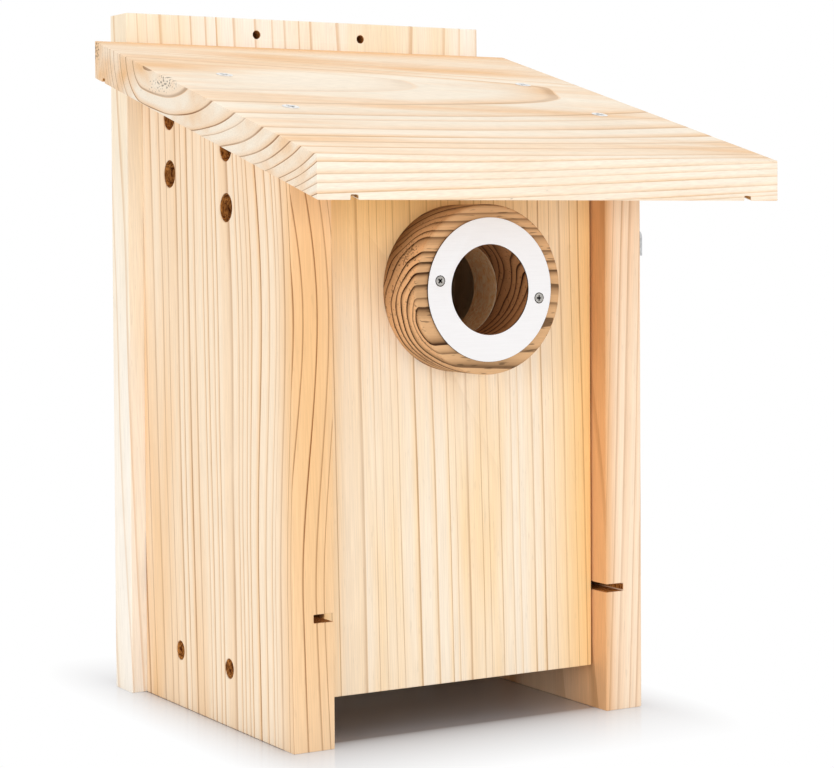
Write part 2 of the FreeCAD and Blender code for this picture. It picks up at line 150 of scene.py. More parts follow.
# Runs of good and poor years widen and close the rings, and some years and patches have paler lines.
YEARS_RUN = 0.37
YEARS_SWING = 1.9
PALEST_YEAR = 0.5
PALEST_PATCH = 0.55
# Where crosscut ends begin and the heart ends, and how far bands, pores, pits and lines stand out.
END_GRAIN = (0.6, 0.95)
HEART_EDGE = (0.8, 1.2)
BAND_SWING = 0.3
BAND_SOFTNESS = 0.17
PORE_EDGE = (0.68, 0.77)
PORE_CROWDING = 0.1
PIT_EDGE = (0.82, 0.9)
PIT_TONE = 0.4
LINE_RELIEF = 0.5


def planed_wood(
    name,
    turn,
    pith,
    ring,
    early,
    warm,
    late,
    closing=1.0,
    trunk_lean=(0, 0),
    squash=(1, 0),
    slant=0,
    sway=5,
    sway_size=70,
    warm_share=0.5,
    line_depth=0.9,
    late_share=0.22,
    summer_warmth=0.8,
    end_tone_and_light=0.86,
    pores=0.07,
    face_lines=1.0,
    warm_and_shade_spots=(),
    torn_spots=(),
    soft_heart=0,
    knot=None,
):
    """Cedar or a like softwood, sawn and planed: pale, with thin brown year lines and a silky sheen.

    Growth rings lie round the pith, so each face shows its own cut through them.
    turn brings the log's length to Z; pith is where its middle then lies; all lengths are in millimetres.
    trunk_lean tips the log off that line, in radians, and it wanders by sway to each side over sway_size.
    The first ring is ring wide, and rings close up outwards where closing is more than 1.
    squash and slant flatten and tip the rings, as in a trunk that grew on a slope.
    line_depth is how dark the year lines are, late_share their share of a ring, pores how dark pores are.
    summer_warmth is how far the wood turns warm through a year, before its line.
    warm_share is roughly how much of the wood lies in warm bands; below nought there are none.
    end_tone_and_light is the tone of the crosscut ends beside the long faces; above 1 it is painted light on
    them.
    face_lines is how dark the year lines stay on the long faces, beside the crosscut ends.
    warm_and_shade_spots are centres and reaches of warmer colour, where the lines show in full;
    some are the wood's own warmth and some are painted shade.
    torn_spots add how deep the cutter tore the grain, and knot how far it pushes the rings aside.
    Within soft_heart of the pith the long faces show no lines, because the young rings are cut so flat there.
    """
    material, tree = new_material(name)
    place = add(tree, "ShaderNodeTexCoord")
    upright = add(
        tree,
        "ShaderNodeMapping",
        feeds={"Vector": place.outputs["Object"], "Rotation": turn, "Scale": (1 / MM,) * 3},
    )
    log = add(
        tree,
        "ShaderNodeMapping",
        feeds={
            "Vector": upright.outputs[0],
            "Location": (-pith[0], -pith[1], 0),
            "Rotation": (trunk_lean[0], trunk_lean[1], 0),
        },
    )

    # The trunk sways over a hand's breadth across and a forearm's length along.
    sway_place = add(
        tree,
        "ShaderNodeVectorMath",
        {"operation": "DIVIDE"},
        {0: log.outputs[0], 1: (sway_size, sway_size, SWAY_STRETCH * sway_size)},
    )
    sway_noise = add(
        tree,
        "ShaderNodeTexNoise",
        feeds={"Vector": sway_place.outputs[0], "Scale": 1.0, "Detail": 2.0, "Roughness": 0.4},
    )
    sway_shift = add(
        tree,
        "ShaderNodeVectorMath",
        {"operation": "MULTIPLY_ADD"},
        {0: sway_noise.outputs["Color"], 1: (2 * sway, 2 * sway, 0), 2: (-sway, -sway, 0)},
    )
    swayed = add(
        tree, "ShaderNodeVectorMath", {"operation": "ADD"}, {0: log.outputs[0], 1: sway_shift.outputs[0]}
    )
    across = add(tree, "ShaderNodeSeparateXYZ", feeds={0: swayed.outputs[0]})
    fold = add(tree, "ShaderNodeMath", {"operation": "ABSOLUTE"}, {0: across.outputs["X"]})
    folded = add(tree, "ShaderNodeMath", {"operation": "MULTIPLY"}, {0: fold.outputs[0], 1: squash[1]})
    squashed = add(
        tree,
        "ShaderNodeMath",
        {"operation": "MULTIPLY_ADD"},
        {0: across.outputs["X"], 1: squash[0], 2: folded.outputs[0]},
    )
    section = add(
        tree, "ShaderNodeCombineXYZ", feeds={"X": squashed.outputs[0], "Y": across.outputs["Y"]}
    )
    radius = add(tree, "ShaderNodeVectorMath", {"operation": "LENGTH"}, {0: section.outputs[0]})
    tipped = add(
        tree,
        "ShaderNodeMath",
        {"operation": "MULTIPLY_ADD"},
        {0: across.outputs["Y"], 1: slant, 2: radius.outputs["Value"]},
    )

    bulged = tipped.outputs[0]
    if knot:
        centre, reach, push = knot
        beside = closeness(tree, place, centre, reach)
        bulged = add(
            tree, "ShaderNodeMath", {"operation": "MULTIPLY_ADD"}, {0: beside, 1: push, 2: bulged}
        ).outputs[0]

    # Good and poor summers: rings come closer and wider by turns.
    girth = add(tree, "ShaderNodeMath", {"operation": "DIVIDE"}, {0: bulged, 1: ring})
    years = add(tree, "ShaderNodeMath", {"operation": "POWER"}, {0: girth.outputs[0], 1: closing})
    summers = add(
        tree,
        "ShaderNodeTexNoise",
        {"noise_dimensions": "1D"},
        {"W": years.outputs[0], "Scale": YEARS_RUN, "Detail": 1.0},
    )
    age = add(
        tree,
        "ShaderNodeMath",
        {"operation": "MULTIPLY_ADD"},
        {0: summers.outputs[0], 1: YEARS_SWING, 2: years.outputs[0]},
    )
    in_year = add(tree, "ShaderNodeMath", {"operation": "FRACT"}, {0: age.outputs[0]})
    year = add(tree, "ShaderNodeMath", {"operation": "FLOOR"}, {0: age.outputs[0]})

    # Through the summer the wood only turns warmer; the year's last cells make the thin brown line.
    growth = add(tree, "ShaderNodeValToRGB", feeds={"Fac": in_year.outputs[0]})
    stops = growth.color_ramp.elements
    stops[0].color = (TAIL_LEVEL, TAIL_LEVEL, TAIL_LEVEL, 1)
    line_start = 1 - late_share
    line_full = 1 - LINE_FULL * late_share
    for share, level in (
        (LINE_TAIL, 0.0), (SPRING_END, 0.0), (line_start, SUMMER_LEVEL), (line_full, 1.0)
    ):
        stops.new(share).color = (level, level, level, 1)
    summer_glow = add(
        tree,
        "ShaderNodeMapRange",
        feeds={"Value": growth.outputs["Color"], "From Max": SUMMER_LEVEL, "To Max": summer_warmth},
    )
    year_end = add(
        tree, "ShaderNodeMapRange", feeds={"Value": growth.outputs["Color"], "From Min": SUMMER_LEVEL}
    )
    vigour = add(tree, "ShaderNodeTexWhiteNoise", {"noise_dimensions": "1D"}, {"W": year.outputs[0]})
    year_depth = add(
        tree,
        "ShaderNodeMapRange",
        feeds={
            "Value": vigour.outputs["Value"], "To Min": PALEST_YEAR * line_depth, "To Max": line_depth
        },
    )
    patch_place = add(
        tree, "ShaderNodeVectorMath", {"operation": "DIVIDE"}, {0: log.outputs[0], 1: PATCH_SIZE}
    )
    patches = add(
        tree, "ShaderNodeTexNoise", feeds={"Vector": patch_place.outputs[0], "Scale": 1.0, "Detail": 2.0}
    )
    patch_depth = add(
        tree,
        "ShaderNodeMapRange",
        feeds={"Value": patches.outputs[0], "From Min": 0.32, "From Max": 0.62, "To Min": PALEST_PATCH},
    )
    depth = add(
        tree,
        "ShaderNodeMath",
        {"operation": "MULTIPLY"},
        {0: year_depth.outputs[0], 1: patch_depth.outputs[0]},
    )

    # Crosscut ends have a tone of their own, which is painted light where it is above 1, and show the year
    # lines at their darkest.
    grain = Euler(turn, "XYZ").to_matrix().inverted() @ Vector((0, 0, 1))
    facing = add(
        tree,
        "ShaderNodeVectorMath",
        {"operation": "DOT_PRODUCT"},
        {0: place.outputs["Normal"], 1: tuple(grain)},
    )
    crosscut = add(tree, "ShaderNodeMath", {"operation": "ABSOLUTE"}, {0: facing.outputs["Value"]})
    end_grain = {"Value": crosscut.outputs[0], "From Min": END_GRAIN[0], "From Max": END_GRAIN[1]}
    spots = [closeness(tree, place, centre, reach) for centre, reach in warm_and_shade_spots]
    if soft_heart:
        heart_low, heart_high = (share * soft_heart for share in HEART_EDGE)
        grown_up = add(
            tree,
            "ShaderNodeMapRange",
            feeds={"Value": bulged, "From Min": heart_low, "From Max": heart_high},
        )
        at_end = add(tree, "ShaderNodeMapRange", feeds=end_grain)
        shown = at_end.outputs[0]
        for lines_here in (grown_up.outputs[0], *spots):
            shown = add(
                tree, "ShaderNodeMath", {"operation": "MAXIMUM"}, {0: shown, 1: lines_here}
            ).outputs[0]
        depth = add(tree, "ShaderNodeMath", {"operation": "MULTIPLY"}, {0: depth.outputs[0], 1: shown})
    end_tone = add(tree, "ShaderNodeMapRange", feeds={**end_grain, "To Min": 1.0, "To Max": end_tone_and_light})
    line_share = add(
        tree, "ShaderNodeMapRange", feeds={**end_grain, "To Min": face_lines, "To Max": 1.0}
    ).outputs[0]
    for spot in spots:
        full_lines = add(
            tree, "ShaderNodeMapRange", feeds={"Value": spot, "To Min": face_lines, "To Max": 1.0}
        )
        line_share = add(
            tree, "ShaderNodeMath", {"operation": "MAXIMUM"}, {0: line_share, 1: full_lines.outputs[0]}
        ).outputs[0]
    glow = add(
        tree,
        "ShaderNodeMath",
        {"operation": "MULTIPLY"},
        {0: summer_glow.outputs[0], 1: depth.outputs[0]},
    )
    drawn = add(
        tree, "ShaderNodeMath", {"operation": "MULTIPLY"}, {0: year_end.outputs[0], 1: depth.outputs[0]}
    )
    line = add(tree, "ShaderNodeMath", {"operation": "MULTIPLY"}, {0: drawn.outputs[0], 1: line_share})

    # Broad warm and pale bands run with the grain.
    band_place = add(
        tree, "ShaderNodeVectorMath", {"operation": "DIVIDE"}, {0: log.outputs[0], 1: BAND_SIZE}
    )
    bands = add(
        tree,
        "ShaderNodeTexNoise",
        feeds={"Vector": band_place.outputs[0], "Scale": 1.0, "Detail": 3.0, "Roughness": 0.55},
    )
    band_edge = 0.5 + BAND_SWING * (0.5 - warm_share)
    warmth = add(
        tree,
        "ShaderNodeMapRange",
        {"interpolation_type": "SMOOTHSTEP"},
        {
            "Value": bands.outputs[0],
            "From Min": band_edge - BAND_SOFTNESS,
            "From Max": band_edge + BAND_SOFTNESS,
        },
    )
    warmth = warmth.outputs[0]
    for spot in spots:
        warmth = add(tree, "ShaderNodeMath", {"operation": "MAXIMUM"}, {0: warmth, 1: spot}).outputs[0]
    warmth = add(
        tree, "ShaderNodeMath", {"operation": "MAXIMUM"}, {0: warmth, 1: glow.outputs[0]}
    ).outputs[0]
    ground = add(
        tree,
        "ShaderNodeMix",
        {"data_type": "RGBA"},
        {"Factor": warmth, 6: linear(early), 7: linear(warm)},
    )
    ringed = add(
        tree,
        "ShaderNodeMix",
        {"data_type": "RGBA"},
        {"Factor": line.outputs[0], 6: ground.outputs[2], 7: linear(late)},
    )

    # Fibres run a thumb's length with the grain; pores are short dark dashes, and pits are torn pores.
    fibre_place = add(
        tree, "ShaderNodeVectorMath", {"operation": "DIVIDE"}, {0: log.outputs[0], 1: FIBRE_SIZE}
    )
    fibres = add(
        tree, "ShaderNodeTexNoise", feeds={"Vector": fibre_place.outputs[0], "Scale": 1.0, "Detail": 2.0}
    )
    fibre_tone = add(
        tree,
        "ShaderNodeMapRange",
        feeds={
            "Value": fibres.outputs[0], "From Min": 0.3, "From Max": 0.7, "To Min": 0.91, "To Max": 1.03
        },
    )
    pore_place = add(
        tree, "ShaderNodeVectorMath", {"operation": "DIVIDE"}, {0: log.outputs[0], 1: PORE_SIZE}
    )
    pore_noise = add(
        tree, "ShaderNodeTexNoise", feeds={"Vector": pore_place.outputs[0], "Scale": 1.0, "Detail": 1.0}
    )
    pore_tone = add(
        tree,
        "ShaderNodeMapRange",
        feeds={
            "Value": pore_noise.outputs[0],
            "From Min": PORE_EDGE[0] - PORE_CROWDING * pores,
            "From Max": PORE_EDGE[1] - PORE_CROWDING * pores,
            "To Min": 1.0,
            "To Max": 1.0 - pores,
        },
    ).outputs[0]
    for centre, reach, tear in torn_spots:
        spot = closeness(tree, place, centre, reach)
        pits = add(
            tree,
            "ShaderNodeMath",
            {"operation": "MULTIPLY_ADD"},
            {0: spot, 1: tear, 2: pore_noise.outputs[0]},
        )
        pit_tone = add(
            tree,
            "ShaderNodeMapRange",
            feeds={
                "Value": pits.outputs[0],
                "From Min": PIT_EDGE[0],
                "From Max": PIT_EDGE[1],
                "To Min": 1.0,
                "To Max": PIT_TONE,
            },
        )
        pore_tone = add(
            tree, "ShaderNodeMath", {"operation": "MULTIPLY"}, {0: pore_tone, 1: pit_tone.outputs[0]}
        ).outputs[0]
    streaks = add(
        tree, "ShaderNodeMath", {"operation": "MULTIPLY"}, {0: fibre_tone.outputs[0], 1: pore_tone}
    )
    tone = add(
        tree, "ShaderNodeMath", {"operation": "MULTIPLY"}, {0: streaks.outputs[0], 1: end_tone.outputs[0]}
    )
    coloured = add(
        tree,
        "ShaderNodeVectorMath",
        {"operation": "SCALE"},
        {0: ringed.outputs[2], "Scale": tone.outputs[0]},
    )

    relief = add(
        tree,
        "ShaderNodeMath",
        {"operation": "MULTIPLY_ADD"},
        {0: line.outputs[0], 1: LINE_RELIEF, 2: fibres.outputs[0]},
    )
    bump = add(
        tree, "ShaderNodeBump", feeds={"Height": relief.outputs[0], "Strength": 0.2, "Distance": 0.2 * MM}
    )
    polish = add(
        tree, "ShaderNodeMapRange", feeds={"Value": fibres.outputs[0], "To Min": 0.72, "To Max": 0.54}
    )
    surface = add(
        tree,
        "ShaderNodeBsdfPrincipled",
        feeds={
            "Base Color": coloured.outputs[0],
            "Roughness": polish.outputs[0],
            "Normal": bump.outputs[0],
            "IOR": 1.45,
            "Specular IOR Level": 0.1,
        },
    )
    add(tree, "ShaderNodeOutputMaterial", feeds={"Surface": surface.outputs[0]})
    return material


def finish_mesh(shape, name, materials, body, slot, *nodes):
    """Make a piece of a finished shape, in place of its CAD nodes."""
    mesh = bpy.data.meshes.new(name)
    shape.to_mesh(mesh)
    shape.free()
    for material in materials:
        mesh.materials.append(material)
    mesh.set_sharp_from_angle(angle=SHARP_EDGE)
    piece = bpy.data.objects.new(name, mesh)
    bpy.context.scene.collection.objects.link(piece)
    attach(piece, body)
    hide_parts(*nodes)
    return piece


def rough_cut(name, pale, dark, grain):
    """Wood left as the bit or saw cut it: torn fibres make it darker and rougher than a planed face.
    Its colours also paint the light inside bores and saw cuts: painted shade in most, painted light in the
    entrance.

    grain is how many tears there are to a millimetre along each axis, the fewest along the fibres.
    """
    material, tree = new_material(name)
    place = add(tree, "ShaderNodeTexCoord")
    torn_place = add(
        tree, "ShaderNodeVectorMath", {"operation": "MULTIPLY"}, {0: place.outputs["Object"], 1: grain}
    )
    torn = add(
        tree,
        "ShaderNodeTexNoise",
        feeds={"Vector": torn_place.outputs[0], "Scale": 1 / MM, "Detail": 4.0, "Roughness": 0.65},
    )
    depth = add(
        tree, "ShaderNodeMapRange", feeds={"Value": torn.outputs[0], "From Min": 0.36, "From Max": 0.64}
    )
    colour = add(
        tree,
        "ShaderNodeMix",
        {"data_type": "RGBA"},
        {"Factor": depth.outputs[0], 6: linear(dark), 7: linear(pale)},
    )
    bump = add(
        tree, "ShaderNodeBump", feeds={"Height": torn.outputs[0], "Strength": 0.8, "Distance": 0.5 * MM}
    )
    surface = add(
        tree,
        "ShaderNodeBsdfPrincipled",
        feeds={
            "Base Color": colour.outputs[2],
            "Normal": bump.outputs[0],
            "Roughness": 0.9,
            "Specular IOR Level": 0.15,
        },
    )
    add(tree, "ShaderNodeOutputMaterial", feeds={"Surface": surface.outputs[0]})
    return material


def ease(shape, edges, width):
    """Round edges over by a small width."""
    bmesh.ops.bevel(
        shape,
        geom=edges,
        offset=width,
        offset_type="OFFSET",
        segments=2,
        profile=0.5,
        affect="EDGES",
        clamp_overlap=False,
        material=0,
    )


def eased_copy(node, name, material, cut_material, slot="cedar", arris=ARRIS, back_arris=None):
    """Copy a solid, join its facets into whole faces and take its arrises off.

    A face that others stand in front of isn't on the outside: it was bored or sawn, and is left rough.
    back_arris, where it is given, rounds the rear edges more than the others.
    """
    shape = bmesh.new()
    shape.from_mesh(frame["nodes"][node].data)
    bmesh.ops.remove_doubles(shape, verts=shape.verts, dist=SAME_POINT)
    bmesh.ops.dissolve_limit(shape, angle_limit=WHOLE_FACE, verts=shape.verts, edges=shape.edges)
    corners = numpy.array([vert.co for vert in shape.verts])
    for face in shape.faces:
        in_front = (corners @ face.normal).max() - face.normal.dot(face.calc_center_median())
        face.material_index = int(in_front > ARRIS)
    arrises = [edge for edge in shape.edges if edge.is_manifold and edge.calc_face_angle() > SHARP_EDGE]
    if back_arris:
        back = max(vert.co.y for vert in shape.verts) - SAME_POINT
        at_back = [edge for edge in arrises if min(vert.co.y for vert in edge.verts) > back]
        arrises = [edge for edge in arrises if edge not in at_back]
        ease(shape, at_back, back_arris)
        arrises = [edge for edge in arrises if edge.is_valid]
    ease(shape, arrises, arris)
    for face in shape.faces:
        face.smooth = face.calc_area() < LARGE_FACE
    return finish_mesh(shape, name, (material, cut_material), frame["nodes"][node]["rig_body"], slot, node)


UPRIGHT = (0, 0, 0)
# Its dark brown is partly painted shade, deep in the bored holes and the saw grooves.
cut_cedar = rough_cut("bored_cedar", "#de9850", "#5a2a0c", grain=(1.0, 1.0, 0.3))
eased_copy(
    "back_board",
    "cedar_back_board",
    planed_wood(
        "flat_sawn_cedar_back",
        UPRIGHT,
        pith=(48, 45),
        ring=6.6,
        trunk_lean=(0.02, 0.03),
        early="#fcf3e6",
        warm="#f8e4c4",
        late="#c98a35",
        warm_share=0.25,
        late_share=0.17,
        line_depth=0.6,
    ),
    cut_cedar,
)

# Sides: two cedar boards with sloped tops, bored for air and sawn inside for the mesh floor.
# The left one is rift-sawn, so straight lines run up its face, which bend past a knot beside its front edge.
# The right one is flat-sawn, with broader figure.
eased_copy(
    "left_side",
    "cedar_left_side",
    planed_wood(
        "rift_sawn_cedar_left",
        UPRIGHT,
        pith=(-300, 230),
        ring=50.3,
        closing=2.0,
        trunk_lean=(0.015, 0.02),
        early="#fae5ca",
        warm="#f4c690",
        late="#86480a",
        warm_share=0.0,
        sway=3,
        late_share=0.18,
        line_depth=1.0,
        face_lines=0.78,
        warm_and_shade_spots=(((-78, -52, 150), (40, 22, 400)),),
        knot=((-75, -52, 187), (60, 90, 130), -8),
    ),
    cut_cedar,
)
eased_copy(
    "right_side",
    "cedar_right_side",
    planed_wood(
        "flat_sawn_cedar_right",
        UPRIGHT,
        pith=(300, 10),
        ring=4.4,
        trunk_lean=(0.01, -0.03),
        early="#fae1c5",
        warm="#e4aa70",
        late="#96602c",
        warm_share=0.2,
        line_depth=0.5,
        # This spot is painted shade, in the corner on the inner face beside the front panel.
        warm_and_shade_spots=(((66, -45, 140), (11, 60, 700)),),
    ),
    cut_cedar,
)

# Back screws: zinc-plated countersunk wood screws, driven from behind into the sides.
# Their heads sit flush, each with its cross recess turned as it came to rest.
SCREW_SHANK = 3.6 * MM
SCREW_THREAD = 0.35 * MM
SCREW_RECESS = 0.5 * MM
RIM_DEPTH = 0.05 * MM
# The cross recess in shares of the head; the thread's turns to a shank's width of body, and its share of it.
CROSS_SPAN = 0.6
CROSS_WIDTH = 0.18
THREAD_TURNS = 1.4
THREADED = 0.7
BLOOM_SIZE = 1.2 * MM
BLOOM_DULLS = 0.12
BLOOM_SHINES = 0.08


def bloomed_metal(name, colour, roughness):
    """Drawn or sheared metal, plated or left bare: bright, with the faint mottled bloom of handled metal."""
    material, tree = new_material(name)
    place = add(tree, "ShaderNodeTexCoord")
    bloom = add(
        tree,
        "ShaderNodeTexNoise",
        feeds={"Vector": place.outputs["Object"], "Scale": 1 / BLOOM_SIZE, "Detail": 3.0},
    )
    tone = add(
        tree,
        "ShaderNodeMapRange",
        feeds={
            "Value": bloom.outputs[0], "From Min": 0.35, "From Max": 0.65, "To Min": 0.8, "To Max": 1.05
        },
    )
    plated = add(
        tree,
        "ShaderNodeVectorMath",
        {"operation": "SCALE"},
        {0: linear(colour)[:3], "Scale": tone.outputs[0]},
    )
    worn = add(
        tree,
        "ShaderNodeMapRange",
        feeds={
            "Value": bloom.outputs[0],
            "To Min": roughness + BLOOM_DULLS,
            "To Max": roughness - BLOOM_SHINES,
        },
    )
    surface = add(
        tree,
        "ShaderNodeBsdfPrincipled",
        feeds={"Base Color": plated.outputs[0], "Metallic": 1.0, "Roughness": worn.outputs[0]},
    )
    add(tree, "ShaderNodeOutputMaterial", feeds={"Surface": surface.outputs[0]})
    return material


def new_node_group(name, inputs):
    """Start a Geometry Nodes tree with named inputs."""
    tree = bpy.data.node_groups.new(name, "GeometryNodeTree")
    tree.interface.new_socket("Geometry", in_out="OUTPUT", socket_type="NodeSocketGeometry")
    tree.interface.new_socket("Geometry", in_out="INPUT", socket_type="NodeSocketGeometry")
    for label, socket_type in inputs.items():
        tree.interface.new_socket(label, in_out="INPUT", socket_type=socket_type)
    return tree


def grown_mesh(start, tree, values, name):
    """Run a Geometry Nodes tree on a start mesh and keep its result as a plain mesh."""
    grower = bpy.data.objects.new(name, start)
    bpy.context.scene.collection.objects.link(grower)
    modifier = grower.modifiers.new(name, "NODES")
    modifier.node_group = tree
    for socket in tree.interface.items_tree:
        if socket.in_out == "INPUT" and socket.name in values:
            modifier[socket.identifier] = values[socket.name]
    grown = bpy.data.meshes.new_from_object(grower.evaluated_get(bpy.context.evaluated_depsgraph_get()))
    bpy.data.objects.remove(grower)
    shape = bmesh.new()
    shape.from_mesh(grown)
    return shape


def screw_tree():
    """Countersunk cross-recess screws, one at each point, its head along the point's axis."""
    tree = new_node_group(
        "countersunk_screws",
        {
            "Head": "NodeSocketFloat",
            "Shank": "NodeSocketFloat",
            "Length": "NodeSocketFloat",
            "Thread": "NodeSocketFloat",
            "Recess": "NodeSocketFloat",
            "Seed": "NodeSocketInt",
            "Metal": "NodeSocketMaterial",
        },
    )
    given = add(tree, "NodeGroupInput").outputs
    head_radius = add(
        tree, "ShaderNodeMath", {"operation": "MULTIPLY"}, {0: given["Head"], 1: 0.5}
    ).outputs[0]
    shank_radius = add(
        tree, "ShaderNodeMath", {"operation": "MULTIPLY"}, {0: given["Shank"], 1: 0.5}
    ).outputs[0]
    sink = add(
        tree, "ShaderNodeMath", {"operation": "SUBTRACT"}, {0: head_radius, 1: shank_radius}
    ).outputs[0]

    head = add(
        tree,
        "GeometryNodeMeshCone",
        feeds={"Vertices": 40, "Radius Top": head_radius, "Radius Bottom": shank_radius, "Depth": sink},
    )
    down = add(tree, "ShaderNodeMath", {"operation": "MULTIPLY"}, {0: sink, 1: -1.0}).outputs[0]
    head_place = add(tree, "ShaderNodeCombineXYZ", feeds={"Z": down})
    seated_head = add(
        tree,
        "GeometryNodeTransform",
        feeds={"Geometry": head.outputs["Mesh"], "Translation": head_place.outputs[0]},
    )

    wing = add(
        tree, "ShaderNodeMath", {"operation": "MULTIPLY"}, {0: given["Head"], 1: CROSS_SPAN}
    ).outputs[0]
    blade = add(
        tree, "ShaderNodeMath", {"operation": "MULTIPLY"}, {0: given["Head"], 1: CROSS_WIDTH}
    ).outputs[0]
    bite = add(tree, "ShaderNodeMath", {"operation": "MULTIPLY"}, {0: given["Recess"], 1: 2.0}).outputs[0]
    wing_size = add(tree, "ShaderNodeCombineXYZ", feeds={"X": wing, "Y": blade, "Z": bite})
    wing_bar = add(tree, "GeometryNodeMeshCube", feeds={"Size": wing_size.outputs[0]})
    cross_bar = add(
        tree,
        "GeometryNodeTransform",
        feeds={"Geometry": wing_bar.outputs["Mesh"], "Rotation": (0, 0, math.pi / 2)},
    )
    first_cut = add(
        tree,
        "GeometryNodeMeshBoolean",
        {"operation": "DIFFERENCE"},
        {"Mesh 1": seated_head.outputs[0], "Mesh 2": wing_bar.outputs["Mesh"]},
    )
    recessed = add(
        tree,
        "GeometryNodeMeshBoolean",
        {"operation": "DIFFERENCE"},
        {"Mesh 1": first_cut.outputs["Mesh"], "Mesh 2": cross_bar.outputs[0]},
    )

    reach = add(
        tree, "ShaderNodeMath", {"operation": "SUBTRACT"}, {0: given["Length"], 1: given["Shank"]}
    ).outputs[0]
    body_length = add(tree, "ShaderNodeMath", {"operation": "SUBTRACT"}, {0: reach, 1: sink}).outputs[0]
    shoulder = add(tree, "ShaderNodeMath", {"operation": "MULTIPLY"}, {0: reach, 1: -1.0}).outputs[0]
    shank_place = add(tree, "ShaderNodeCombineXYZ", feeds={"Z": shoulder})
    shank = add(
        tree,
        "GeometryNodeMeshCone",
        feeds={
            "Vertices": 24,
            "Radius Top": shank_radius,
            "Radius Bottom": shank_radius,
            "Depth": body_length,
        },
    )
    seated_shank = add(
        tree,
        "GeometryNodeTransform",
        feeds={"Geometry": shank.outputs["Mesh"], "Translation": shank_place.outputs[0]},
    )
    point = add(
        tree,
        "GeometryNodeMeshCone",
        feeds={"Vertices": 24, "Radius Top": 0.0, "Radius Bottom": shank_radius, "Depth": given["Shank"]},
    )
    seated_point = add(
        tree,
        "GeometryNodeTransform",
        feeds={
            "Geometry": point.outputs["Mesh"],
            "Translation": shank_place.outputs[0],
            "Rotation": (math.pi, 0, 0),
        },
    )
    body_widths = add(
        tree, "ShaderNodeMath", {"operation": "DIVIDE"}, {0: body_length, 1: given["Shank"]}
    ).outputs[0]
    thread_turns = add(
        tree, "ShaderNodeMath", {"operation": "MULTIPLY"}, {0: body_widths, 1: THREAD_TURNS}
    ).outputs[0]
    thread_length = add(
        tree, "ShaderNodeMath", {"operation": "MULTIPLY"}, {0: body_length, 1: THREADED}
    ).outputs[0]
    helix = add(
        tree,
        "GeometryNodeCurveSpiral",
        feeds={
            "Resolution": 14,
            "Rotations": thread_turns,
            "Start Radius": shank_radius,
            "End Radius": shank_radius,
            "Height": thread_length,
        },
    )
    ridge = add(
        tree, "GeometryNodeCurvePrimitiveCircle", feeds={"Resolution": 4, "Radius": given["Thread"]}
    )
    thread = add(
        tree,
        "GeometryNodeCurveToMesh",
        feeds={"Curve": helix.outputs[0], "Profile Curve": ridge.outputs[0], "Fill Caps": True},
    )
    seated_thread = add(
        tree,
        "GeometryNodeTransform",
        feeds={"Geometry": thread.outputs[0], "Translation": shank_place.outputs[0]},
    )

    screw = add(tree, "GeometryNodeJoinGeometry")
    for piece in (
        recessed.outputs["Mesh"],
        seated_shank.outputs[0],
        seated_point.outputs[0],
        seated_thread.outputs[0],
    ):
        tree.links.new(piece, screw.inputs[0])
    axis = add(tree, "GeometryNodeInputNamedAttribute", {"data_type": "FLOAT_VECTOR"}, {"Name": "axis"})
    aimed = add(
        tree, "FunctionNodeAlignRotationToVector", {"axis": "Z"}, {"Vector": axis.outputs["Attribute"]}
    )
    rest = add(
        tree,
        "FunctionNodeRandomValue",
        {"data_type": "FLOAT"},
        {"Max": math.pi / 2, "Seed": given["Seed"]},
    )
    spin = add(
        tree, "FunctionNodeAxisAngleToRotation", feeds={"Axis": (0, 0, 1), "Angle": rest.outputs["Value"]}
    )
    driven = add(
        tree,
        "FunctionNodeRotateRotation",
        {"rotation_space": "LOCAL"},
        {"Rotation": aimed.outputs[0], "Rotate By": spin.outputs[0]},
    )
    placed = add(
        tree,
        "GeometryNodeInstanceOnPoints",
        feeds={"Points": given["Geometry"], "Instance": screw.outputs[0], "Rotation": driven.outputs[0]},
    )
    real = add(tree, "GeometryNodeRealizeInstances", feeds={"Geometry": placed.outputs[0]})
    plated = add(
        tree, "GeometryNodeSetMaterial", feeds={"Geometry": real.outputs[0], "Material": given["Metal"]}
    )
    add(tree, "NodeGroupOutput", feeds={0: plated.outputs[0]})
    return tree


COUNTERSUNK_SCREWS = screw_tree()


def screw_places(node):
    """Each screw of a CAD node: its head's middle, axis, length and head width. Its tip lies furthest out."""
    shape = bmesh.new()
    shape.from_mesh(frame["nodes"][node].data)
    bmesh.ops.remove_doubles(shape, verts=shape.verts, dist=SAME_POINT)
    unseen = set(shape.verts)
    places = []
    for start in shape.verts:
        if start not in unseen:
            continue
        unseen.remove(start)
        screw = [start]
        for vert in screw:
            near = [other for edge in vert.link_edges if (other := edge.other_vert(vert)) in unseen]
            unseen.difference_update(near)
            screw += near
        middle = sum((vert.co for vert in screw), Vector()) / len(screw)
        tip = max((vert.co for vert in screw), key=lambda co: (co - middle).length).copy()
        reach = max((vert.co - tip).length for vert in screw)
        rim = [vert.co for vert in screw if (vert.co - tip).length > reach - RIM_DEPTH]
        head = sum(rim, Vector()) / len(rim)
        places.append((head, (head - tip).normalized(), (head - tip).length, 2 * (rim[0] - head).length))
    shape.free()
    return places


